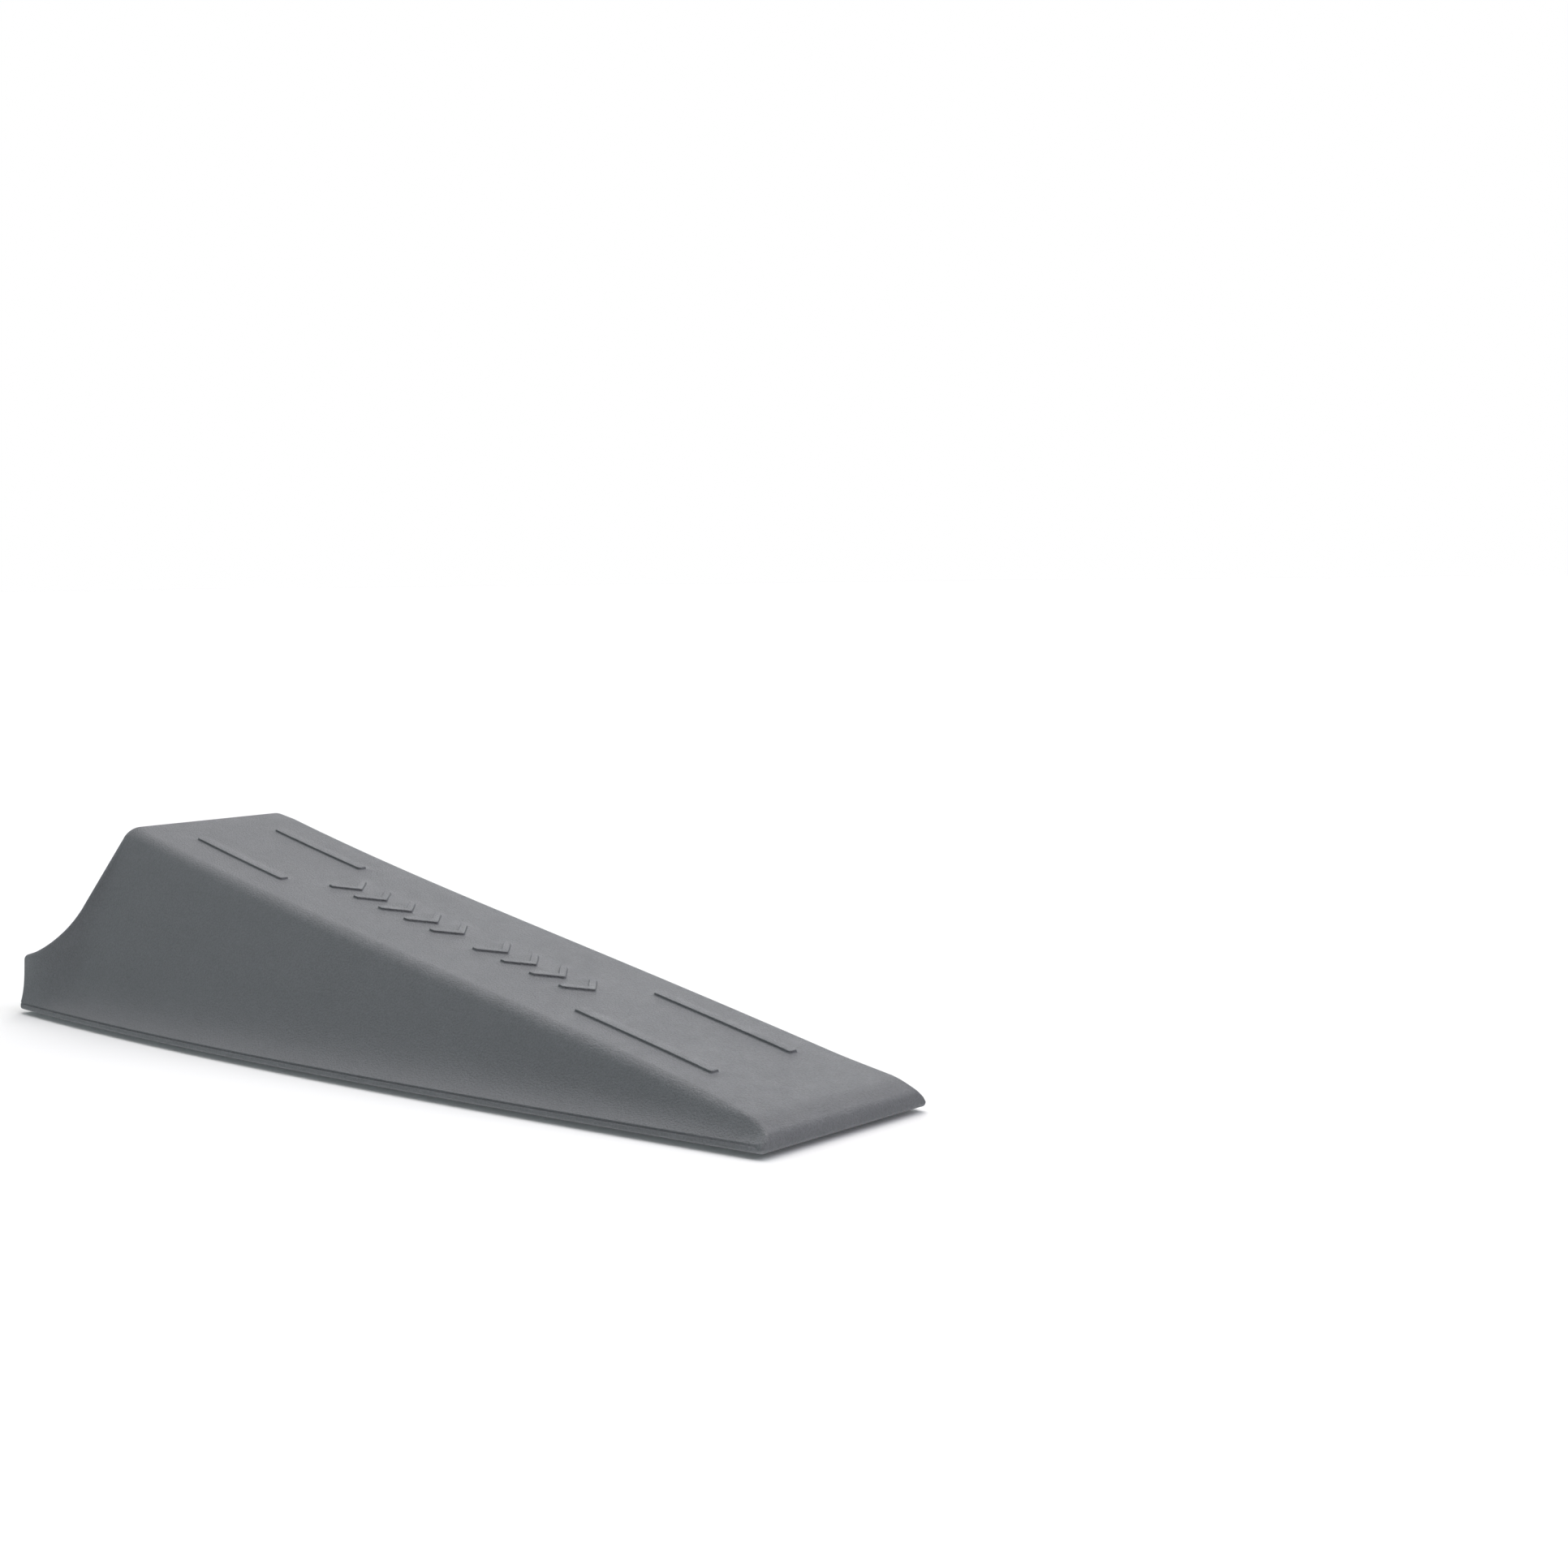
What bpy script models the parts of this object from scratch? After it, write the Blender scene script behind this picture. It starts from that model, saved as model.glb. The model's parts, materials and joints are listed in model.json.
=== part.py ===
"""Rubber door wedge, moulded in one piece.

The thin toe points along +X, the tall heel along -X, and the wedge stands on Z = 0. The body is a side
view given a width: its outline carries the toe, the ramp, the ridge and the scooped heel, and a width
worked out at each point of that outline gives the flared sides. Constants are in millimetres.
"""

import math

import bmesh
import bpy
from mathutils import Matrix, Vector
from mathutils.geometry import delaunay_2d_cdt, intersect_point_line

MM = 0.001

# Side view
BASE_HEEL_X = -59.0
BASE_TOE_X = 61.25
TOE_FACE_X = 61.15
TOE_FACE_TOP = 1.7
NOSE_X = 59.0
RIDGE_X = -50.9
HEEL_ANGLE = math.radians(76.3)
SCOOP_Z = 8.5
LIP_TIP_X = -61.18
LIP_TIP_Z = 6.41

# Ramp: a straight slope with a slight hollow, steepest at the two ends
RAMP_MIDDLE_X = 8.0
RAMP_MIDDLE_Z = 12.1
RAMP_SLOPE = 0.171
RAMP_HOLLOW_AT_HEEL = 5.4e-6
RAMP_HOLLOW_AT_TOE = 3.9e-6

# Widths, each measured from the centre line
HEEL_HALF_WIDTH = 22.8
TOE_HALF_WIDTH = 12.2
HEEL_SPREAD = 0.025
TOE_TAPER = -0.150
RAMP_HALF_WIDTH = 11.2
RAMP_TAPER = 0.0105

# Sides, from the bottom: a thin flange, a fine crease, a flare and a nearly flat wall up to the ramp
FLANGE_TOP = 0.62
FLANGE_STEP = 0.15
CREASE_Z = 0.72
CREASE_DEPTH = 0.05
CREASE_END_X = 57.0
CREASE_FADE = 8.0
FLARE_START = 0.9
FLARE_HEIGHT = 1.3
FLARE_HEIGHT_AT_HEEL = 3.0
FLARE_AT_HEEL = 1.9
FLARE_IN_MIDDLE = 3.0
FLARE_SHARE = 0.8
FLARE_GROWTH_LENGTH = 25.0
HEEL_BULGE = 1.2
HEEL_END_LENGTH = 9.5

# Rounding of the long edges between the outline and the sides
BASE_EDGE = 0.35
TOE_EDGE = 0.4
RAMP_EDGE = 1.1
RIDGE_EDGE = 1.6
SCOOP_EDGE = 0.6
LIP_EDGE = 0.35
EDGE_GROWTH_START_X = 60.0
EDGE_GROWTH_END_X = 50.0

# Corner radii in the side view
BASE_CORNER = 0.4
TOE_BASE_CORNER = 0.5
TOE_CORNER = 1.2
NOSE_RADIUS = 8.0
RIDGE_RADIUS = 1.7
SCOOP_RADIUS = 9.0
LIP_RADIUS = 0.6

# Raised grip bars and arrows on the ramp
BAR_WIDTH = 1.2
BAR_HEIGHT = 0.3
BAR_OFFSET_Y = 5.8
BAR_SPANS = ((-42.6, -24.4), (28.6, 48.8))
ARROW_COUNTS = (4, 5)
ARROW_FIRST_TIP_X = 25.0
ARROW_PITCH = 4.85
ARROW_GROUP_GAP = 2.9
ARROW_SPAN_Y = 5.0
ARROW_DEPTH = 2.5
ARROW_STROKE = 0.8
ARROW_HEIGHT = 0.3
ROOT_DEPTH = 0.8

# Tread grooves in the underside
GROOVE_COUNT = 16
GROOVE_PITCH = 7.0
GROOVE_WIDTH = 1.5
GROOVE_DEPTH = 0.8
GROOVE_MARGIN = 3.2

# Mesh density
STATION_STEP = 4.0
ARC_STEP = math.radians(12.0)
ROUNDING_STEPS = 3
WALL_HEIGHTS = (FLANGE_TOP, CREASE_Z, FLARE_START, 1.8, 2.5, 3.5, 5.0, 7.5, 11.0, 15.0, 19.0)
WALL_MARGIN = 0.25

RUBBER_COLOUR = (0.150, 0.155, 0.165, 1.0)
RUBBER_ROUGHNESS = 0.78


def clear_scene():
    for item in list(bpy.data.objects):
        bpy.data.objects.remove(item, do_unlink=True)


def smooth_step(value):
    t = min(max(value, 0.0), 1.0)
    return t * t * (3.0 - 2.0 * t)


def ramp_height(x):
    away = x - RAMP_MIDDLE_X
    hollow = RAMP_HOLLOW_AT_TOE if away > 0.0 else RAMP_HOLLOW_AT_HEEL
    return RAMP_MIDDLE_Z - RAMP_SLOPE * away - hollow * away**3


def base_half_width(x):
    """Cubic from the heel to the toe: nearly parallel at the heel, tapering towards the toe."""
    length = BASE_TOE_X - BASE_HEEL_X
    t = min(max((x - BASE_HEEL_X) / length, 0.0), 1.0)
    heel = HEEL_HALF_WIDTH * (1.0 + 2.0 * t) * (1.0 - t) ** 2
    toe = TOE_HALF_WIDTH * t * t * (3.0 - 2.0 * t)
    heel_slope = HEEL_SPREAD * length * t * (1.0 - t) ** 2
    toe_slope = TOE_TAPER * length * t * t * (t - 1.0)
    return heel + toe + heel_slope + toe_slope


def ramp_half_width(x):
    return RAMP_HALF_WIDTH - RAMP_TAPER * x


def half_width(x, z):
    """Distance from the centre line to the side surface, before its edges are rounded."""
    base = base_half_width(x)
    if z <= FLANGE_TOP:
        return base
    foot = base - FLANGE_STEP
    top = ramp_half_width(x)
    growth = min(max((x - BASE_HEEL_X) / FLARE_GROWTH_LENGTH, 0.0), 1.0)
    flare = FLARE_AT_HEEL + (FLARE_IN_MIDDLE - FLARE_AT_HEEL) * growth
    flare = min(flare, FLARE_SHARE * (foot - top))
    down = (ramp_height(x) - z) / (ramp_height(x) - FLARE_START)
    heel_end = smooth_step(1.0 - (x - BASE_HEEL_X) / HEEL_END_LENGTH)
    bulge = HEEL_BULGE * heel_end
    wall = top + (foot - flare - top) * (down + bulge * down * (1.0 - down))
    if z >= FLARE_START:
        height = FLARE_HEIGHT + (FLARE_HEIGHT_AT_HEEL - FLARE_HEIGHT) * heel_end
        return wall + flare * math.exp((FLARE_START - z) / height)
    crease = foot - CREASE_DEPTH * smooth_step((CREASE_END_X - x) / CREASE_FADE)
    if z >= CREASE_Z:
        return crease + (foot - crease) * (z - CREASE_Z) / (FLARE_START - CREASE_Z)
    return base + (crease - base) * (z - FLANGE_TOP) / (CREASE_Z - FLANGE_TOP)


def rounded_corner(before, corner, after, radius):
    """Points of the arc that rounds a corner, from the side of before to the side of after."""
    if radius == 0.0:
        return [corner]
    back = (before - corner).normalized()
    ahead = (after - corner).normalized()
    half = back.angle(ahead) / 2.0
    tangent = radius / math.tan(half)
    centre = corner + (back + ahead).normalized() * (radius / math.sin(half))
    start = corner + back * tangent - centre
    turn = math.pi - 2.0 * half
    if back.cross(ahead) > 0.0:
        turn = -turn
    count = max(2, math.ceil(abs(turn) / ARC_STEP))
    return [centre + Matrix.Rotation(turn * i / count, 2) @ start for i in range(count + 1)]


def ramp_edge(x):
    share = smooth_step((EDGE_GROWTH_START_X - x) / (EDGE_GROWTH_START_X - EDGE_GROWTH_END_X))
    return TOE_EDGE + (RAMP_EDGE - TOE_EDGE) * share


def outline_corners():
    """Corners of the side view, anticlockwise from the heel: point, corner radius, edge rounding."""
    base_count = round((BASE_TOE_X - BASE_HEEL_X) / STATION_STEP)
    corners = [(BASE_HEEL_X, 0.0, BASE_CORNER, BASE_EDGE)]
    for i in range(1, base_count):
        corners.append((BASE_HEEL_X + STATION_STEP * i, 0.0, 0.0, BASE_EDGE))
    corners.append((BASE_TOE_X, 0.0, TOE_BASE_CORNER, BASE_EDGE))
    corners.append((TOE_FACE_X, TOE_FACE_TOP, TOE_CORNER, TOE_EDGE))
    corners.append((NOSE_X, ramp_height(NOSE_X), NOSE_RADIUS, TOE_EDGE))
    first = NOSE_X - STATION_STEP
    last = RIDGE_X + STATION_STEP
    ramp_count = round((first - last) / STATION_STEP)
    for i in range(ramp_count + 1):
        x = first + (last - first) * i / ramp_count
        corners.append((x, ramp_height(x), 0.0, ramp_edge(x)))
    corners.append((RIDGE_X, ramp_height(RIDGE_X), RIDGE_RADIUS, RIDGE_EDGE))
    scoop_x = RIDGE_X - (ramp_height(RIDGE_X) - SCOOP_Z) / math.tan(HEEL_ANGLE)
    corners.append((scoop_x, SCOOP_Z, SCOOP_RADIUS, SCOOP_EDGE))
    corners.append((LIP_TIP_X, LIP_TIP_Z, LIP_RADIUS, LIP_EDGE))
    for z in reversed([height for height in WALL_HEIGHTS if height < LIP_TIP_Z - 2.0 * LIP_RADIUS]):
        x = BASE_HEEL_X + (LIP_TIP_X - BASE_HEEL_X) * z / LIP_TIP_Z
        corners.append((x, z, 0.0, LIP_EDGE))
    return corners


def side_outline():
    """The side view as (point, edge rounding), with its corners rounded."""
    corners = outline_corners()
    points = [Vector((x, z)) for x, z, _, _ in corners]
    outline = []
    for i, (_, _, radius, edge) in enumerate(corners):
        before = points[i - 1]
        after = points[(i + 1) % len(points)]
        for point in rounded_corner(before, points[i], after, radius):
            outline.append((point, edge))
    return outline


def inward_normals(points):
    normals = []
    for i, point in enumerate(points):
        back = (point - points[i - 1]).normalized()
        ahead = (points[(i + 1) % len(points)] - point).normalized()
        along = (back + ahead).normalized()
        normals.append(Vector((-along.y, along.x)))
    return normals


def rounding_loops(outline):
    """Loops of (x, z, y) that round the outline's edge, from the outline itself to the side surface."""
    points = [point for point, _ in outline]
    normals = inward_normals(points)
    loops = []
    for k in range(ROUNDING_STEPS + 1):
        angle = math.pi / 2.0 * k / ROUNDING_STEPS
        loop = []
        for (point, edge), normal in zip(outline, normals):
            place = point + normal * (edge * (1.0 - math.cos(angle)))
            y = half_width(place.x, place.y) - edge * (1.0 - math.sin(angle))
            loop.append((place.x, place.y, y))
        loops.append(loop)
    return loops


def clear_inside(place, loop):
    """Whether a point of the side view lies inside the loop and clear of its edge."""
    inside = False
    for i in range(len(loop)):
        a = Vector(loop[i - 1][:2])
        b = Vector(loop[i][:2])
        near, share = intersect_point_line(place, a, b)
        nearest = a.lerp(b, min(max(share, 0.0), 1.0))
        if (place - nearest).length < WALL_MARGIN:
            return False
        if (a.y > place.y) != (b.y > place.y):
            crossing = a.x + (place.y - a.y) * (b.x - a.x) / (b.y - a.y)
            inside ^= place.x < crossing
    return inside


def wall_points(loop):
    """Inner points of the side surface, in rows that are closest together at the flange and flare."""
    count = round((BASE_TOE_X - BASE_HEEL_X) / STATION_STEP)
    points = []
    for z in WALL_HEIGHTS:
        for i in range(count + 1):
            x = BASE_HEEL_X + STATION_STEP * i
            if clear_inside(Vector((x, z)), loop):
                points.append((x, z, half_width(x, z)))
    return points


def body_mesh():
    """The plain wedge: one rounded side surface, its mirror image, and the band between their outlines."""
    loops = rounding_loops(side_outline())
    count = len(loops[0])
    points = [point for loop in loops for point in loop] + wall_points(loops[-1])
    edges = []
    for k in range(len(loops)):
        edges += [(k * count + i, k * count + (i + 1) % count) for i in range(count)]
    flat = [Vector((x, z)) for x, z, _ in points]
    triangles = delaunay_2d_cdt(flat, edges, [list(range(count))], 1, 1e-6)[2]
    mesh = bmesh.new()
    near = [mesh.verts.new((x * MM, -y * MM, z * MM)) for x, z, y in points]
    far = [mesh.verts.new((x * MM, y * MM, z * MM)) for x, z, y in points]
    for a, b, c in triangles:
        mesh.faces.new((near[a], near[b], near[c]))
        mesh.faces.new((far[c], far[b], far[a]))
    for i in range(count):
        following = (i + 1) % count
        mesh.faces.new((near[following], near[i], far[i], far[following]))
    bmesh.ops.recalc_face_normals(mesh, faces=mesh.faces)
    return mesh


def rubber():
    material = bpy.data.materials.new("Grey rubber")
    material.use_nodes = True
    shader = material.node_tree.nodes["Principled BSDF"]
    shader.inputs["Base Color"].default_value = RUBBER_COLOUR
    shader.inputs["Roughness"].default_value = RUBBER_ROUGHNESS
    shader.inputs["Metallic"].default_value = 0.0
    material.diffuse_color = RUBBER_COLOUR
    return material


def add_object(name, mesh, collection):
    data = bpy.data.meshes.new(name)
    mesh.to_mesh(data)
    mesh.free()
    item = bpy.data.objects.new(name, data)
    collection.objects.link(item)
    return item


def prism(outline, bottom, top):
    """A solid with the given (x, y) outline between two heights, all in millimetres."""
    mesh = bmesh.new()
    corners = [mesh.verts.new((x * MM, y * MM, bottom * MM)) for x, y in outline]
    base = mesh.faces.new(corners)
    raised = bmesh.ops.extrude_face_region(mesh, geom=[base])["geom"]
    moved = [item for item in raised if isinstance(item, bmesh.types.BMVert)]
    bmesh.ops.translate(mesh, verts=moved, vec=(0.0, 0.0, (top - bottom) * MM))
    bmesh.ops.recalc_face_normals(mesh, faces=mesh.faces)
    return mesh


def lay_on_ramp(item, start, end):
    """Sets a shape modelled along X on the ramp's chord from one x to another."""
    rise = ramp_height(end) - ramp_height(start)
    item.rotation_euler = (0.0, -math.atan2(rise, end - start), 0.0)
    middle = (ramp_height(start) + ramp_height(end)) / 2.0
    item.location.x = (start + end) / 2.0 * MM
    item.location.z = middle * MM


def add_grip_bars(collection):
    for start, end in BAR_SPANS:
        half_length = math.hypot(end - start, ramp_height(end) - ramp_height(start)) / 2.0
        half = BAR_WIDTH / 2.0
        outline = [(-half_length, -half), (half_length, -half), (half_length, half), (-half_length, half)]
        for side in (-1.0, 1.0):
            item = add_object("Grip bar", prism(outline, -ROOT_DEPTH, BAR_HEIGHT), collection)
            lay_on_ramp(item, start, end)
            item.location.y = side * BAR_OFFSET_Y * MM


def arrow_tips():
    tip = ARROW_FIRST_TIP_X
    tips = []
    for count in ARROW_COUNTS:
        tips += [tip - ARROW_PITCH * i for i in range(count)]
        tip -= ARROW_PITCH * count + ARROW_GROUP_GAP
    return tips


def add_arrows(collection):
    """Raised chevrons that point to the thin end."""
    reach = ARROW_SPAN_Y / 2.0
    slant = math.hypot(ARROW_DEPTH, reach) / reach
    back = ARROW_STROKE * slant
    length = ARROW_DEPTH + back
    tip = length / 2.0
    wing = tip - ARROW_DEPTH
    outline = [(tip, 0.0), (wing, reach), (wing - back, reach)]
    outline += [(tip - back, 0.0), (wing - back, -reach), (wing, -reach)]
    for x in arrow_tips():
        item = add_object("Arrow", prism(outline, -ROOT_DEPTH, ARROW_HEIGHT), collection)
        lay_on_ramp(item, x - length, x)


def add_grooves(collection):
    """Cutters for the cross grooves, which stop short of the edges of the base."""
    for i in range(GROOVE_COUNT):
        x = (i - (GROOVE_COUNT - 1) / 2.0) * GROOVE_PITCH
        front = x + GROOVE_WIDTH / 2.0
        rear = x - GROOVE_WIDTH / 2.0
        at_front = base_half_width(front) - GROOVE_MARGIN
        at_rear = base_half_width(rear) - GROOVE_MARGIN
        outline = [(rear, -at_rear), (front, -at_front), (front, at_front), (rear, at_rear)]
        add_object("Tread groove", prism(outline, -GROOVE_DEPTH, GROOVE_DEPTH), collection)


def helper_collection(name):
    collection = bpy.data.collections.new(name)
    bpy.context.scene.collection.children.link(collection)
    return collection


def combine(body, collection, operation):
    modifier = body.modifiers.new(collection.name, "BOOLEAN")
    modifier.operation = operation
    modifier.solver = "EXACT"
    modifier.operand_type = "COLLECTION"
    modifier.collection = collection
    for helper in collection.objects:
        helper.hide_render = True
        helper.display_type = "WIRE"


def main():
    clear_scene()
    body = add_object("wedge_body", body_mesh(), bpy.context.scene.collection)
    body.data.materials.append(rubber())
    marks = helper_collection("Raised marks")
    add_grip_bars(marks)
    add_arrows(marks)
    combine(body, marks, "UNION")
    grooves = helper_collection("Tread grooves")
    add_grooves(grooves)
    combine(body, grooves, "DIFFERENCE")


main()
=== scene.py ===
"""Looks of the moulded rubber door wedge: fine surface, rubber material, studio and camera.

Lengths are in millimetres of the CAD body, whose length sets the unit, and +X is the thin toe.
"""

import json
import math

import bmesh
import bpy
from mathutils import Matrix, Vector
from mathutils.geometry import delaunay_2d_cdt


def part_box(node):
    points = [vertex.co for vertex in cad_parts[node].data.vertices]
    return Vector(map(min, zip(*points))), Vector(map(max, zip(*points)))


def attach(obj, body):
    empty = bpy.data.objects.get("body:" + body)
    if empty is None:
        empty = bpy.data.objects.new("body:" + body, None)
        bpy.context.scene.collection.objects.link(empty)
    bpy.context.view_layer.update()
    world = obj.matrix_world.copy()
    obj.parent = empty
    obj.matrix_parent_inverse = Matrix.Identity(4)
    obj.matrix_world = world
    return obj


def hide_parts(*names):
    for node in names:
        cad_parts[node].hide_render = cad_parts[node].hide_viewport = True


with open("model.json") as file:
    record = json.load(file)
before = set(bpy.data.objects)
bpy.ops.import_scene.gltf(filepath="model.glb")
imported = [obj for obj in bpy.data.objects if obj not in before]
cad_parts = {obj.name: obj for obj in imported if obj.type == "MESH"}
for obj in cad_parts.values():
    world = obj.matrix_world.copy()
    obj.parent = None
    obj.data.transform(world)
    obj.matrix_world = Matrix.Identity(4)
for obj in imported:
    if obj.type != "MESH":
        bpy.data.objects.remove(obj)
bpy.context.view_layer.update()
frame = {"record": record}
NODE = "wedge_body"
SLOT = "wedge_rubber"
NODE_LOW, NODE_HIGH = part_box(NODE)
LENGTH = 122.23
MM = (NODE_HIGH[0] - NODE_LOW[0]) / LENGTH

# Side view
BASE_HEEL_X = -59.0
BASE_TOE_X = 61.25
TOE_FACE_X = 61.15
TOE_FACE_TOP = 1.7
NOSE_X = 59.0
RIDGE_X = -50.9
HEEL_ANGLE = math.radians(76.3)
SCOOP_Z = 8.5
LIP_TIP_X = -61.18
LIP_TIP_Z = 6.41

# Ramp: a straight slope with a slight hollow, steepest at the two ends
RAMP_MIDDLE_X = 8.0
RAMP_MIDDLE_Z = 12.1
RAMP_SLOPE = 0.171
RAMP_HOLLOW_AT_HEEL = 5.4e-6
RAMP_HOLLOW_AT_TOE = 3.9e-6

# Widths, each measured from the centre line
HEEL_HALF_WIDTH = 22.8
TOE_HALF_WIDTH = 12.2
HEEL_SPREAD = 0.025
TOE_TAPER = -0.150
RAMP_HALF_WIDTH = 11.2
RAMP_TAPER = 0.0105

# Sides, from the bottom: a thin flange, a fine crease, a flare and a nearly flat wall up to the ramp
FLANGE_TOP = 0.62
FLANGE_STEP = 0.15
CREASE_Z = 0.72
CREASE_DEPTH = 0.05
CREASE_END_X = 57.0
CREASE_FADE = 8.0
FLARE_START = 0.9
FLARE_HEIGHT = 1.3
FLARE_HEIGHT_AT_HEEL = 3.0
FLARE_AT_HEEL = 1.9
FLARE_IN_MIDDLE = 3.0
FLARE_SHARE = 0.8
FLARE_GROWTH_LENGTH = 25.0
HEEL_BULGE = 1.2
HEEL_END_LENGTH = 9.5

# Rounding of the long edges between the outline and the sides
BASE_EDGE = 0.35
TOE_EDGE = 0.4
RAMP_EDGE = 1.1
RIDGE_EDGE = 1.6
SCOOP_EDGE = 0.6
LIP_EDGE = 0.35
EDGE_GROWTH_START_X = 60.0
EDGE_GROWTH_END_X = 50.0

# Corner radii in the side view
BASE_CORNER = 0.4
TOE_BASE_CORNER = 0.5
TOE_CORNER = 1.2
NOSE_RADIUS = 8.0
RIDGE_RADIUS = 1.7
SCOOP_RADIUS = 9.0
LIP_RADIUS = 0.6

# Raised grip bars and arrows on the ramp
BAR_WIDTH = 1.2
BAR_HEIGHT = 0.3
BAR_OFFSET_Y = 5.8
BAR_SPANS = ((-42.6, -24.4), (28.6, 48.8))
BAR_CORNER = 0.3
ARROW_COUNTS = (4, 5)
ARROW_FIRST_TIP_X = 25.0
ARROW_PITCH = 4.85
ARROW_GROUP_GAP = 2.9
ARROW_SPAN_Y = 5.0
ARROW_DEPTH = 2.5
ARROW_STROKE = 0.8
ARROW_HEIGHT = 0.3
ARROW_CORNER = 0.2
MARK_FLARE = 0.16
# Share of the flare, and share of the mark's height, from the foot upwards
MARK_FOOT = ((1.0, 0.0), (0.45, 0.12), (0.12, 0.3), (0.0, 0.5))
MARK_RIM = 0.09
MARK_RIM_STEPS = 4
MARK_ARC_STEP = math.radians(15.0)

# Tread grooves in the underside
GROOVE_COUNT = 16
GROOVE_PITCH = 7.0
GROOVE_WIDTH = 1.5
GROOVE_DEPTH = 0.8
GROOVE_MARGIN = 3.2
GROOVE_CORNER = 0.5
# Inset and height of the rings, from the rounded mouth to the flat top of a groove
GROOVE_RINGS = ((-0.15, 0.0), (-0.05, 0.04), (0.0, 0.15), (0.03, 0.5), (0.12, 0.7), (0.32, GROOVE_DEPTH))

# Mesh density
STATION_STEP = 1.0
RAMP_ROWS = (-7.6, -4.0, 0.0, 4.0, 7.6)
RAMP_ROW_MARGIN = 0.9
NOSE_CLEARANCE = 4.0
RIDGE_CLEARANCE = 4.0
ARC_STEP = math.radians(5.0)
ROUNDING_STEPS = 8
WALL_HEIGHTS = [FLANGE_TOP, CREASE_Z, FLARE_START, 1.05, 1.25, 1.5, 1.8, 2.2, 2.7, 3.4, 4.2]
WALL_HEIGHTS += [5.0 + i for i in range(17)]
WALL_MARGIN = 0.2
MERGE_DISTANCE = 1e-6
SHARP_ANGLE = math.radians(32.0)

# Rub marks along the edges, on the raised marks and on the thin end of the ramp; the ramp's rounded edges and
# the nose at the toe also carry a painted highlight, a lighter line along the edge
WEAR_AND_HIGHLIGHT_REACH = 3.0
MARK_WEAR_START = 0.2
RAMP_EDGE_RUB_AND_HIGHLIGHT = 0.4
RIDGE_WEAR = 0.5
LIP_WEAR = 0.5
TOE_WEAR = 0.4
MARK_WEAR = 0.3
NOSE_HIGHLIGHT_X = 57.5
SCUFF_START_X = 20.0
SCUFF_LENGTH = 32.0
SCUFF_LEAST_LEVEL = 0.8
SCUFF = 0.22

# Noise patterns of the rubber: scale per millimetre, detail, roughness and, on one, distortion
BLOTCHES = (0.07, 4.0, 0.6)
MOTTLING = (0.45, 3.0, 0.6)
FLOW = (0.5, 3.0, 0.55, 0.6)
GRAIN = (4.5, 2.0, 0.7)
WAVES = (0.12, 2.0, 0.5)
WEAR_AND_HIGHLIGHT_BREAKS = (0.6, 4.0, 0.65)
FLOW_STRETCH = (0.12, 1.0, 1.0)

# Rubber: tones are shares of the colour, and heights are in millimetres.
# Most of a noise pattern lies between its low and high value.
PATTERN_LOW = 0.3
PATTERN_HIGH = 0.7
BLOTCH_TONE = 0.03
MOTTLE_TONE = 0.025
MOTTLE_HEIGHT = 0.012
FLOW_TONE = 0.02
GRAIN_TONE = 0.13
GRAIN_HEIGHT = 0.15
WAVE_HEIGHT = 0.06
WEAR_AND_HIGHLIGHT_BREAK_LOW = 0.38
WEAR_AND_HIGHLIGHT_BREAK_HIGH = 0.62
WEAR_AND_HIGHLIGHT_BREAK_LEAST = 0.25
WEAR_AND_HIGHLIGHT_TONE = 0.24
WEAR_POLISH = 0.2
ROUGHNESS = 0.7
ROUGHNESS_SPREAD = 0.06
RUBBER_IOR = 1.5
RUBBER_SPECULAR = 0.5

# Studio
CAMERA_PLACE = (194.29, -153.62, 53.36)
CAMERA_AZIMUTH = math.radians(42.58)
CAMERA_ELEVATION = math.radians(5.44)
CAMERA_ROLL = math.radians(-0.61)
CAMERA_LENS = 48.75
CAMERA_SENSOR = 36.0
CAMERA_CLIP = (10.0, 100000.0)
FLOOR_HALF = 40000.0
FLOOR_COLOUR = (0.87, 0.87, 0.87, 1.0)
FLOOR_ROUGHNESS = 0.9
# The floor lies this far below the base, which softens the shadow at the foot of the wedge.
FLOOR_GAP = 0.5
BACKDROP_COLOUR = (1.0, 1.0, 1.0, 1.0)
BACKDROP_LIGHT = 0.115

# Soft lights far away, as if from large panels: name, azimuth, elevation, width in degrees, strength, colour.
# Azimuth 0 lights the -Y side and 90 the +X side.
LIGHTS = (
    ("Key light above and behind", 222.0, 60.0, 50.0, 2.25, (1.0, 0.98, 0.965)),
    ("Low light behind", 222.0, 12.0, 20.0, 0.53, (0.95, 1.0, 1.0)),
    ("Toe light", 132.0, 45.0, 50.0, 1.17, (0.92, 0.93, 1.0)),
    ("Top light", 0.0, 89.0, 60.0, 0.63, (0.98, 0.97, 1.0)),
    ("Heel fill", 312.0, 15.0, 25.0, 0.52, (0.75, 1.0, 1.0)),
    ("Light below the floor", 0.0, -89.0, 60.0, 1.3, (1.0, 1.0, 1.0)),
)


def smooth_step(value):
    t = min(max(value, 0.0), 1.0)
    return t * t * (3.0 - 2.0 * t)


def ramp_height(x):
    away = x - RAMP_MIDDLE_X
    hollow = RAMP_HOLLOW_AT_TOE if away > 0.0 else RAMP_HOLLOW_AT_HEEL
    return RAMP_MIDDLE_Z - RAMP_SLOPE * away - hollow * away**3


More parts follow.
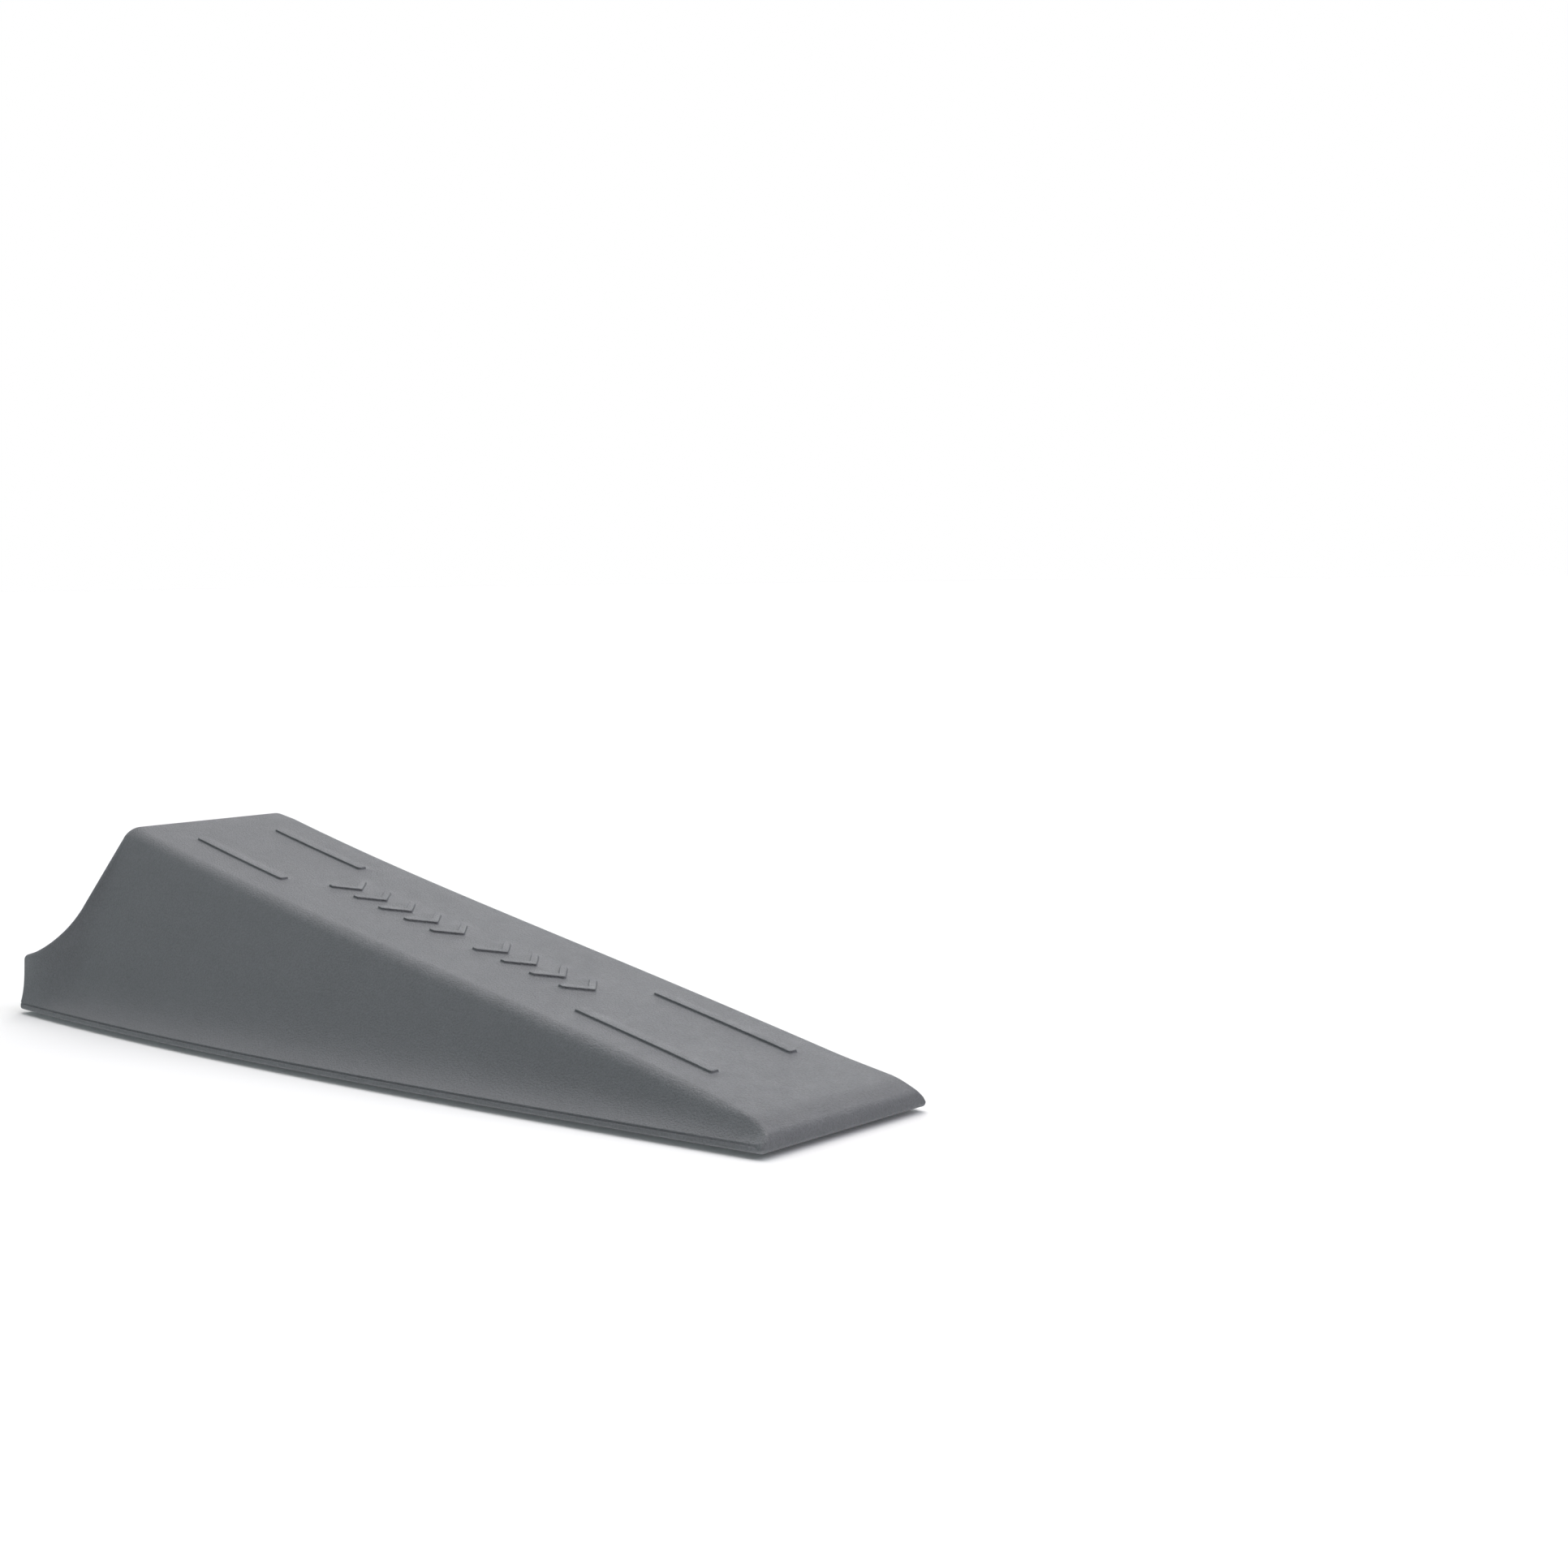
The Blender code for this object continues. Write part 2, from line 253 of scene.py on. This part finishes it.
def base_half_width(x):
    """Cubic from the heel to the toe: nearly parallel at the heel, tapering towards the toe."""
    length = BASE_TOE_X - BASE_HEEL_X
    t = min(max((x - BASE_HEEL_X) / length, 0.0), 1.0)
    heel = HEEL_HALF_WIDTH * (1.0 + 2.0 * t) * (1.0 - t) ** 2
    toe = TOE_HALF_WIDTH * t * t * (3.0 - 2.0 * t)
    heel_slope = HEEL_SPREAD * length * t * (1.0 - t) ** 2
    toe_slope = TOE_TAPER * length * t * t * (t - 1.0)
    return heel + toe + heel_slope + toe_slope


def ramp_half_width(x):
    return RAMP_HALF_WIDTH - RAMP_TAPER * x


def half_width(x, z):
    """Distance from the centre line to the side surface, before its edges are rounded."""
    base = base_half_width(x)
    if z <= FLANGE_TOP:
        return base
    foot = base - FLANGE_STEP
    top = ramp_half_width(x)
    growth = min(max((x - BASE_HEEL_X) / FLARE_GROWTH_LENGTH, 0.0), 1.0)
    flare = FLARE_AT_HEEL + (FLARE_IN_MIDDLE - FLARE_AT_HEEL) * growth
    flare = min(flare, FLARE_SHARE * (foot - top))
    down = (ramp_height(x) - z) / (ramp_height(x) - FLARE_START)
    heel_end = smooth_step(1.0 - (x - BASE_HEEL_X) / HEEL_END_LENGTH)
    bulge = HEEL_BULGE * heel_end
    wall = top + (foot - flare - top) * (down + bulge * down * (1.0 - down))
    if z >= FLARE_START:
        height = FLARE_HEIGHT + (FLARE_HEIGHT_AT_HEEL - FLARE_HEIGHT) * heel_end
        return wall + flare * math.exp((FLARE_START - z) / height)
    crease = foot - CREASE_DEPTH * smooth_step((CREASE_END_X - x) / CREASE_FADE)
    if z >= CREASE_Z:
        return crease + (foot - crease) * (z - CREASE_Z) / (FLARE_START - CREASE_Z)
    return base + (crease - base) * (z - FLANGE_TOP) / (CREASE_Z - FLANGE_TOP)


def rounded_corner(before, corner, after, radius, arc_step):
    """Points of the arc that rounds a corner, from the side of before to the side of after."""
    if radius == 0.0:
        return [corner]
    back = (before - corner).normalized()
    ahead = (after - corner).normalized()
    half = back.angle(ahead) / 2.0
    tangent = radius / math.tan(half)
    centre = corner + (back + ahead).normalized() * (radius / math.sin(half))
    start = corner + back * tangent - centre
    turn = math.pi - 2.0 * half
    if back.cross(ahead) > 0.0:
        turn = -turn
    count = max(2, math.ceil(abs(turn) / arc_step))
    return [centre + Matrix.Rotation(turn * i / count, 2) @ start for i in range(count + 1)]


def ramp_edge(x):
    share = smooth_step((EDGE_GROWTH_START_X - x) / (EDGE_GROWTH_START_X - EDGE_GROWTH_END_X))
    return TOE_EDGE + (RAMP_EDGE - TOE_EDGE) * share


def outline_corners():
    """Corners of the side view, anticlockwise from the heel: x, z, corner radius, edge rounding, region.

    Extra points on the lip's rear face let its edges follow the flare of the sides.
    """
    base_count = round((BASE_TOE_X - BASE_HEEL_X) / STATION_STEP)
    corners = [(BASE_HEEL_X, 0.0, BASE_CORNER, BASE_EDGE, "")]
    for i in range(1, base_count):
        corners.append((BASE_HEEL_X + STATION_STEP * i, 0.0, 0.0, BASE_EDGE, "base"))
    corners.append((BASE_TOE_X, 0.0, TOE_BASE_CORNER, BASE_EDGE, ""))
    corners.append((TOE_FACE_X, TOE_FACE_TOP, TOE_CORNER, TOE_EDGE, ""))
    corners.append((NOSE_X, ramp_height(NOSE_X), NOSE_RADIUS, TOE_EDGE, ""))
    first = NOSE_X - NOSE_CLEARANCE
    last = RIDGE_X + RIDGE_CLEARANCE
    ramp_count = round((first - last) / STATION_STEP)
    for i in range(ramp_count + 1):
        x = first + (last - first) * i / ramp_count
        corners.append((x, ramp_height(x), 0.0, ramp_edge(x), "ramp"))
    corners.append((RIDGE_X, ramp_height(RIDGE_X), RIDGE_RADIUS, RIDGE_EDGE, ""))
    scoop_x = RIDGE_X - (ramp_height(RIDGE_X) - SCOOP_Z) / math.tan(HEEL_ANGLE)
    corners.append((scoop_x, SCOOP_Z, SCOOP_RADIUS, SCOOP_EDGE, ""))
    corners.append((LIP_TIP_X, LIP_TIP_Z, LIP_RADIUS, LIP_EDGE, ""))
    for z in reversed([height for height in WALL_HEIGHTS if height < LIP_TIP_Z - 2.0 * LIP_RADIUS]):
        x = BASE_HEEL_X + (LIP_TIP_X - BASE_HEEL_X) * z / LIP_TIP_Z
        corners.append((x, z, 0.0, LIP_EDGE, ""))
    return corners


def side_outline():
    """The side view as (point, edge rounding, region), with its corners rounded."""
    corners = outline_corners()
    points = [Vector(corner[:2]) for corner in corners]
    outline = []
    for i, (_, _, radius, edge, region) in enumerate(corners):
        following = points[(i + 1) % len(points)]
        for point in rounded_corner(points[i - 1], points[i], following, radius, ARC_STEP):
            outline.append((point, edge, region))
    return outline


def inward_normals(points):
    normals = []
    for i, point in enumerate(points):
        back = (point - points[i - 1]).normalized()
        ahead = (points[(i + 1) % len(points)] - point).normalized()
        along = (back + ahead).normalized()
        normals.append(Vector((-along.y, along.x)))
    return normals


def rounding_loops(outline):
    """Loops of (x, z, y) that round the outline's edge, from the outline itself to the side surface."""
    points = [point for point, _, _ in outline]
    normals = inward_normals(points)
    loops = []
    for k in range(ROUNDING_STEPS + 1):
        angle = math.pi / 2.0 * k / ROUNDING_STEPS
        loop = []
        for (point, edge, _), normal in zip(outline, normals):
            place = point + normal * (edge * (1.0 - math.cos(angle)))
            y = half_width(place.x, place.y) - edge * (1.0 - math.sin(angle))
            loop.append((place.x, place.y, y))
        loops.append(loop)
    return loops


def clear_inside(place, loop):
    """Whether a point of the side view lies inside the loop and clear of its edge."""
    inside = False
    for i in range(len(loop)):
        ax, az = loop[i - 1][:2]
        bx, bz = loop[i][:2]
        run = (bx - ax) ** 2 + (bz - az) ** 2
        share = ((place[0] - ax) * (bx - ax) + (place[1] - az) * (bz - az)) / run
        share = min(max(share, 0.0), 1.0)
        if math.hypot(ax + (bx - ax) * share - place[0], az + (bz - az) * share - place[1]) < WALL_MARGIN:
            return False
        if (az > place[1]) != (bz > place[1]):
            crossing = ax + (place[1] - az) * (bx - ax) / (bz - az)
            inside ^= place[0] < crossing
    return inside


def wall_points(loop):
    """Inner points of the side surface, in rows that are closest together at the flange and flare."""
    count = round((BASE_TOE_X - BASE_HEEL_X) / STATION_STEP)
    points = []
    for z in WALL_HEIGHTS:
        for i in range(count + 1):
            x = BASE_HEEL_X + STATION_STEP * i
            if clear_inside((x, z), loop):
                points.append((x, z, half_width(x, z)))
    return points


def inset(outline, distance):
    """The outline moved inwards by a distance, with mitred corners. It runs anticlockwise."""
    moved = []
    for i, point in enumerate(outline):
        back = (point - outline[i - 1]).normalized()
        ahead = (outline[(i + 1) % len(outline)] - point).normalized()
        along = (back + ahead).normalized()
        inward = Vector((-along.y, along.x))
        moved.append(point + inward * (distance / along.dot(ahead)))
    return moved


def rounded_outline(corners, radius):
    outline = []
    for i, corner in enumerate(corners):
        following = corners[(i + 1) % len(corners)]
        outline += rounded_corner(corners[i - 1], corner, following, radius, MARK_ARC_STEP)
    return outline


def subdivided(outline):
    """The outline with extra points, so that no straight stretch is longer than a station."""
    points = []
    for i, point in enumerate(outline):
        following = outline[(i + 1) % len(outline)]
        count = max(1, math.ceil((following - point).length / STATION_STEP))
        points += [point.lerp(following, j / count) for j in range(count)]
    return points


def bar_outlines():
    outlines = []
    for start, end in BAR_SPANS:
        for side in (-1.0, 1.0):
            low = side * BAR_OFFSET_Y - BAR_WIDTH / 2.0
            high = side * BAR_OFFSET_Y + BAR_WIDTH / 2.0
            corners = [Vector((start, low)), Vector((end, low)), Vector((end, high)), Vector((start, high))]
            outlines.append(subdivided(rounded_outline(corners, BAR_CORNER)))
    return outlines


def arrow_tips():
    tip = ARROW_FIRST_TIP_X
    tips = []
    for count in ARROW_COUNTS:
        tips += [tip - ARROW_PITCH * i for i in range(count)]
        tip -= ARROW_PITCH * count + ARROW_GROUP_GAP
    return tips


def arrow_outlines():
    """Chevrons that point to the thin end."""
    reach = ARROW_SPAN_Y / 2.0
    back = ARROW_STROKE * math.hypot(ARROW_DEPTH, reach) / reach
    outlines = []
    for tip in arrow_tips():
        wing = tip - ARROW_DEPTH
        corners = [Vector((tip, 0.0)), Vector((wing, reach)), Vector((wing - back, reach))]
        corners += [Vector((tip - back, 0.0)), Vector((wing - back, -reach)), Vector((wing, -reach))]
        outlines.append(rounded_outline(corners, ARROW_CORNER))
    return outlines


def groove_outlines():
    outlines = []
    for i in range(GROOVE_COUNT):
        x = (i - (GROOVE_COUNT - 1) / 2.0) * GROOVE_PITCH
        front = x + GROOVE_WIDTH / 2.0
        rear = x - GROOVE_WIDTH / 2.0
        at_front = base_half_width(front) - GROOVE_MARGIN
        at_rear = base_half_width(rear) - GROOVE_MARGIN
        corners = [Vector((rear, -at_rear)), Vector((front, -at_front))]
        corners += [Vector((front, at_front)), Vector((rear, at_rear))]
        outlines.append(rounded_outline(corners, GROOVE_CORNER))
    return outlines


def mark_rings(height):
    """(inset, height) of a raised mark's rings: a flared foot, steep sides and a rounded rim."""
    rings = [(-MARK_FLARE * share, height * level) for share, level in MARK_FOOT]
    for k in range(1, MARK_RIM_STEPS + 1):
        angle = math.pi / 2.0 * k / MARK_RIM_STEPS
        rings.append((MARK_RIM * (1.0 - math.cos(angle)), height - MARK_RIM * (1.0 - math.sin(angle))))
    return rings


def fill(mesh, boundary, holes=(), inner=()):
    """Triangles that fill a boundary, seen from above, around its holes."""
    loops = [boundary, *holes]
    corners = []
    faces = []
    for loop in loops:
        faces.append(list(range(len(corners), len(corners) + len(loop))))
        corners += loop
    corners += inner
    result = delaunay_2d_cdt([corner.co.xy for corner in corners], [], faces, 1, MERGE_DISTANCE)
    for triangle, sources in zip(result[2], result[5]):
        if list(sources) == [0]:
            mesh.faces.new([corners[i] for i in triangle])


def stack_rings(mesh, outline, rings, surface_height):
    """Adds rings over an outline on a surface, with a cap on the last. Returns the first ring."""
    loops = []
    for distance, level in rings:
        ring = inset(outline, distance)
        loops.append([mesh.verts.new((point.x, point.y, surface_height(point.x) + level)) for point in ring])
    for lower, upper in zip(loops, loops[1:]):
        for i in range(len(lower)):
            following = (i + 1) % len(lower)
            mesh.faces.new((lower[i], lower[following], upper[following], upper[i]))
    fill(mesh, loops[-1])
    return loops[0]


def base_height(_):
    return 0.0


def ramp_points(mesh, outlines):
    """Inner points of the ramp, clear of the marks."""
    count = round((BASE_TOE_X - BASE_HEEL_X) / STATION_STEP)
    stations = [BASE_HEEL_X + STATION_STEP * i for i in range(count + 1)]
    first = RIDGE_X + RIDGE_CLEARANCE
    last = NOSE_X - NOSE_CLEARANCE
    points = []
    for x in [station for station in stations if first < station < last]:
        for y in RAMP_ROWS:
            spot = Vector((x, y))
            if all((spot - point).length > RAMP_ROW_MARGIN for outline in outlines for point in outline):
                points.append(mesh.verts.new((x, y, ramp_height(x))))
    return points


def add_side(mesh, loops, inner, side):
    """One side surface with its rounded edge. Returns the vertices of the outline itself."""
    count = len(loops[0])
    points = [point for loop in loops for point in loop] + inner
    edges = []
    for k in range(len(loops)):
        edges += [(k * count + i, k * count + (i + 1) % count) for i in range(count)]
    flat = [Vector((x, z)) for x, z, _ in points]
    corners = [mesh.verts.new((x, side * y, z)) for x, z, y in points]
    for triangle in delaunay_2d_cdt(flat, edges, [list(range(count))], 1, MERGE_DISTANCE)[2]:
        mesh.faces.new([corners[i] for i in triangle])
    return corners[:count]


def region_of(corners, outline, wanted):
    return [corner for corner, (_, _, region) in zip(corners, outline) if region == wanted]


def wedge_mesh():
    """The whole wedge as one closed surface, with the marks of its ramp and the grooves of its base."""
    outline = side_outline()
    loops = rounding_loops(outline)
    inner = wall_points(loops[-1])
    mesh = bmesh.new()
    near = add_side(mesh, loops, inner, -1.0)
    far = add_side(mesh, loops, inner, 1.0)
    for i, (_, _, region) in enumerate(outline):
        following = (i + 1) % len(outline)
        if region == "" or outline[following][2] != region:
            mesh.faces.new((near[following], near[i], far[i], far[following]))
    bars = bar_outlines()
    arrows = arrow_outlines()
    rims = [stack_rings(mesh, bar, mark_rings(BAR_HEIGHT), ramp_height) for bar in bars]
    rims += [stack_rings(mesh, arrow, mark_rings(ARROW_HEIGHT), ramp_height) for arrow in arrows]
    ramp = region_of(far, outline, "ramp") + region_of(near, outline, "ramp")[::-1]
    fill(mesh, ramp, rims, ramp_points(mesh, bars + arrows))
    grooves = [stack_rings(mesh, groove, GROOVE_RINGS, base_height) for groove in groove_outlines()]
    base = region_of(near, outline, "base") + region_of(far, outline, "base")[::-1]
    fill(mesh, base, grooves)
    bmesh.ops.recalc_face_normals(mesh, faces=mesh.faces)
    bmesh.ops.scale(mesh, vec=(MM, MM, MM), verts=mesh.verts)
    return mesh


def add_object(name, mesh):
    data = bpy.data.meshes.new(name)
    mesh.to_mesh(data)
    mesh.free()
    item = bpy.data.objects.new(name, data)
    bpy.context.scene.collection.objects.link(item)
    return item


def bell(value, middle, reach):
    """1 at the middle, falling to 0 at the given distance from it."""
    return smooth_step(1.0 - abs(value - middle) / reach)


def edge_wear_and_highlight(place, normal):
    """How much a spot of the surface is rubbed or carries a painted highlight, from 0 to 1. The rounded ramp
    edges carry rub marks and a painted highlight, and the nose a painted highlight. The normal points
    outwards.
    """
    x, y, z = place
    height = z - ramp_height(x)
    # crest peaks on the rounded edges: the ramp term is rubbing plus a painted highlight there, and the nose
    # term is a painted highlight
    crest = 2.0 * abs(normal.y) * math.hypot(normal.x, normal.z)
    near_ramp = smooth_step((height + WEAR_AND_HIGHLIGHT_REACH) / WEAR_AND_HIGHLIGHT_REACH)
    ramp = RAMP_EDGE_RUB_AND_HIGHLIGHT * crest * near_ramp
    nose = crest * smooth_step((x - NOSE_HIGHLIGHT_X) / WEAR_AND_HIGHLIGHT_REACH)
    ridge = RIDGE_WEAR * bell(x, RIDGE_X, WEAR_AND_HIGHLIGHT_REACH) * near_ramp
    lip = LIP_WEAR * bell(math.hypot(x - LIP_TIP_X, z - LIP_TIP_Z), 0.0, WEAR_AND_HIGHLIGHT_REACH)
    toe = TOE_WEAR * bell(math.hypot(x - TOE_FACE_X, z - TOE_FACE_TOP), 0.0, WEAR_AND_HIGHLIGHT_REACH)
    mark = smooth_step((height - MARK_WEAR_START) / (BAR_HEIGHT - MARK_WEAR_START))
    level = smooth_step((normal.z - SCUFF_LEAST_LEVEL) / (1.0 - SCUFF_LEAST_LEVEL))
    scuff = SCUFF * level * smooth_step((x - SCUFF_START_X) / SCUFF_LENGTH)
    return max(ramp, nose, ridge, lip, toe, scuff, MARK_WEAR * mark)


def store_wear_and_highlight(mesh):
    layer = mesh.attributes.new("edge_wear_and_highlight", "FLOAT", "POINT")
    for i, vertex in enumerate(mesh.vertices):
        layer.data[i].value = edge_wear_and_highlight(vertex.co / MM, vertex.normal)


def fit_to_box(item, low, high):
    """Scales the mesh by the hair's breadth that finer arcs may put it outside the CAD box."""
    places = [vertex.co for vertex in item.data.vertices]
    for axis in range(3):
        lowest = min(place[axis] for place in places)
        highest = max(place[axis] for place in places)
        scale = min(1.0, (high[axis] - low[axis]) / (highest - lowest))
        middle = (lowest + highest) / 2.0
        for place in places:
            place[axis] = middle + (place[axis] - middle) * scale
        shift = max(0.0, low[axis] - min(place[axis] for place in places))
        shift += min(0.0, high[axis] - max(place[axis] for place in places))
        for place in places:
            place[axis] += shift


class NodeBuilder:
    """Adds shader nodes to a material and links them, so that a material reads as a list of steps."""

    def __init__(self, name):
        self.material = bpy.data.materials.new(name)
        self.material.use_nodes = True
        self.tree = self.material.node_tree
        self.tree.nodes.clear()

    def add(self, kind, inputs=None, **settings):
        node = self.tree.nodes.new(kind)
        for name, value in settings.items():
            setattr(node, name, value)
        for name, value in (inputs or {}).items():
            if isinstance(value, bpy.types.NodeSocket):
                self.tree.links.new(value, node.inputs[name])
            else:
                node.inputs[name].default_value = value
        return node

    def maths(self, operation, first, second=0.0, clamp=False):
        node = self.add("ShaderNodeMath", {0: first, 1: second}, operation=operation, use_clamp=clamp)
        return node.outputs[0]

    def noise(self, vector, scale, detail, roughness, distortion=0.0):
        inputs = {"Vector": vector, "Scale": scale, "Detail": detail}
        inputs |= {"Roughness": roughness, "Distortion": distortion}
        return self.add("ShaderNodeTexNoise", inputs).outputs["Fac"]

    def remap(self, value, low, high, to_low, to_high):
        inputs = {"Value": value, "From Min": low, "From Max": high, "To Min": to_low, "To Max": to_high}
        return self.add("ShaderNodeMapRange", inputs, clamp=True).outputs["Result"]

    def around(self, pattern, middle, spread):
        """A noise pattern spread evenly about a middle value."""
        return self.remap(pattern, PATTERN_LOW, PATTERN_HIGH, middle - spread, middle + spread)

    def bump(self, height, distance, below=None):
        inputs = {"Height": height, "Distance": distance, "Strength": 1.0}
        if below is not None:
            inputs["Normal"] = below
        return self.add("ShaderNodeBump", inputs).outputs["Normal"]


def rubber(slot):
    """Matt moulded rubber: a fine mould texture, faint blotches and flow lines, and edges rubbed smoother and
    lighter, with a painted highlight along the ramp's rounded edges and over the nose.
    """
    build = NodeBuilder("Moulded rubber")
    position = build.add("ShaderNodeTexCoord").outputs["Object"]
    scaled = build.add("ShaderNodeMapping", {"Vector": position, "Scale": (1.0 / MM,) * 3}).outputs[0]
    stretched = build.add("ShaderNodeMapping", {"Vector": scaled, "Scale": FLOW_STRETCH}).outputs[0]
    rub_and_highlight = build.add("ShaderNodeAttribute", attribute_name="edge_wear_and_highlight").outputs["Fac"]

    blotches = build.noise(scaled, *BLOTCHES)
    mottling = build.noise(scaled, *MOTTLING)
    flow = build.noise(stretched, *FLOW)
    grain = build.noise(scaled, *GRAIN)
    broken = build.noise(scaled, *WEAR_AND_HIGHLIGHT_BREAKS)
    breaks = build.remap(broken, WEAR_AND_HIGHLIGHT_BREAK_LOW, WEAR_AND_HIGHLIGHT_BREAK_HIGH, WEAR_AND_HIGHLIGHT_BREAK_LEAST, 1.0)
    worn_and_highlit = build.maths("MULTIPLY", rub_and_highlight, breaks, clamp=True)

    tone = build.around(blotches, 1.0, BLOTCH_TONE)
    for pattern, share in ((mottling, MOTTLE_TONE), (flow, FLOW_TONE), (grain, GRAIN_TONE)):
        tone = build.maths("MULTIPLY", tone, build.around(pattern, 1.0, share))
    # Lighter where rubbed, and a painted highlight on the ramp's rounded edges and the nose
    tone = build.maths("MULTIPLY", tone, build.remap(worn_and_highlit, 0.0, 1.0, 1.0, 1.0 + WEAR_AND_HIGHLIGHT_TONE))
    colour = build.add("ShaderNodeVectorMath", {0: slot["base_color"][:3], "Scale": tone}, operation="SCALE")

    rough = build.around(mottling, ROUGHNESS, ROUGHNESS_SPREAD)
    rough = build.maths("SUBTRACT", rough, build.maths("MULTIPLY", worn_and_highlit, WEAR_POLISH), clamp=True)

    normal = build.bump(build.noise(scaled, *WAVES), WAVE_HEIGHT * MM)
    normal = build.bump(mottling, MOTTLE_HEIGHT * MM, normal)
    normal = build.bump(grain, GRAIN_HEIGHT * MM, normal)

    inputs = {"Base Color": colour.outputs[0], "Roughness": rough, "Normal": normal}
    inputs |= {"Metallic": 0.0, "IOR": RUBBER_IOR, "Specular IOR Level": RUBBER_SPECULAR}
    shader = build.add("ShaderNodeBsdfPrincipled", inputs).outputs["BSDF"]
    build.add("ShaderNodeOutputMaterial", {"Surface": shader})
    return build.material


def make_wedge(slot):
    wedge = add_object("rubber_wedge", wedge_mesh())
    wedge.data.shade_smooth()
    wedge.data.set_sharp_from_angle(angle=SHARP_ANGLE)
    fit_to_box(wedge, NODE_LOW, NODE_HIGH)
    store_wear_and_highlight(wedge.data)
    wedge.data.materials.append(rubber(slot))
    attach(wedge, "root")
    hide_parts(NODE)


def paper():
    """Plain pale floor seen only from above, which lets the light below it through to the base."""
    build = NodeBuilder("Pale floor")
    shader = build.add("ShaderNodeBsdfPrincipled", {"Base Color": FLOOR_COLOUR, "Roughness": FLOOR_ROUGHNESS})
    clear = build.add("ShaderNodeBsdfTransparent")
    from_below = build.add("ShaderNodeNewGeometry").outputs["Backfacing"]
    to_light = build.add("ShaderNodeLightPath").outputs["Is Shadow Ray"]
    open_share = build.maths("MAXIMUM", from_below, to_light)
    mixed = build.add("ShaderNodeMixShader", {0: open_share, 1: shader.outputs[0], 2: clear.outputs[0]})
    build.add("ShaderNodeOutputMaterial", {"Surface": mixed.outputs[0]})
    return build.material


def make_floor():
    mesh = bmesh.new()
    corners = ((-1.0, -1.0), (1.0, -1.0), (1.0, 1.0), (-1.0, 1.0))
    half = FLOOR_HALF * MM
    mesh.faces.new([mesh.verts.new((x * half, y * half, -FLOOR_GAP * MM)) for x, y in corners])
    floor = add_object("floor", mesh)
    floor.data.materials.append(paper())


def direction(azimuth, elevation):
    """Unit vector from the wedge towards that azimuth and elevation, in radians."""
    level = math.cos(elevation)
    return Vector((math.sin(azimuth) * level, -math.cos(azimuth) * level, math.sin(elevation)))


def add_light(name, azimuth, elevation, width, strength, colour):
    light = bpy.data.lights.new(name, "SUN")
    light.angle = math.radians(width)
    light.energy = strength
    light.color = colour
    item = bpy.data.objects.new(name, light)
    source = direction(math.radians(azimuth), math.radians(elevation))
    item.rotation_euler = source.to_track_quat("Z", "Y").to_euler()
    bpy.context.scene.collection.objects.link(item)


def make_backdrop():
    """White to the camera, and a dimmer even light on everything else."""
    world = bpy.data.worlds.new("Backdrop")
    world.use_nodes = True
    nodes = world.node_tree.nodes
    links = world.node_tree.links
    background = nodes["Background"]
    background.inputs["Color"].default_value = BACKDROP_COLOUR
    seen = nodes.new("ShaderNodeLightPath").outputs["Is Camera Ray"]
    strength = nodes.new("ShaderNodeMapRange")
    strength.inputs["To Min"].default_value = BACKDROP_LIGHT
    strength.inputs["To Max"].default_value = 1.0
    links.new(seen, strength.inputs["Value"])
    links.new(strength.outputs["Result"], background.inputs["Strength"])
    bpy.context.scene.world = world


def make_camera():
    data = bpy.data.cameras.new("Camera")
    data.lens = CAMERA_LENS
    data.sensor_width = CAMERA_SENSOR
    data.clip_start = CAMERA_CLIP[0] * MM
    data.clip_end = CAMERA_CLIP[1] * MM
    camera = bpy.data.objects.new("Camera", data)
    camera.location = Vector(CAMERA_PLACE) * MM
    facing = direction(CAMERA_AZIMUTH, CAMERA_ELEVATION).to_track_quat("Z", "Y").to_matrix()
    camera.rotation_euler = (facing @ Matrix.Rotation(CAMERA_ROLL, 3, "Z")).to_euler()
    bpy.context.scene.collection.objects.link(camera)
    bpy.context.scene.camera = camera


def main():
    slots = {slot["slot"]: slot for slot in frame["record"]["materials"]}
    make_wedge(slots[SLOT])
    make_floor()
    make_backdrop()
    for light in LIGHTS:
        add_light(*light)
    make_camera()
    bpy.context.scene.view_settings.view_transform = "Standard"


main()
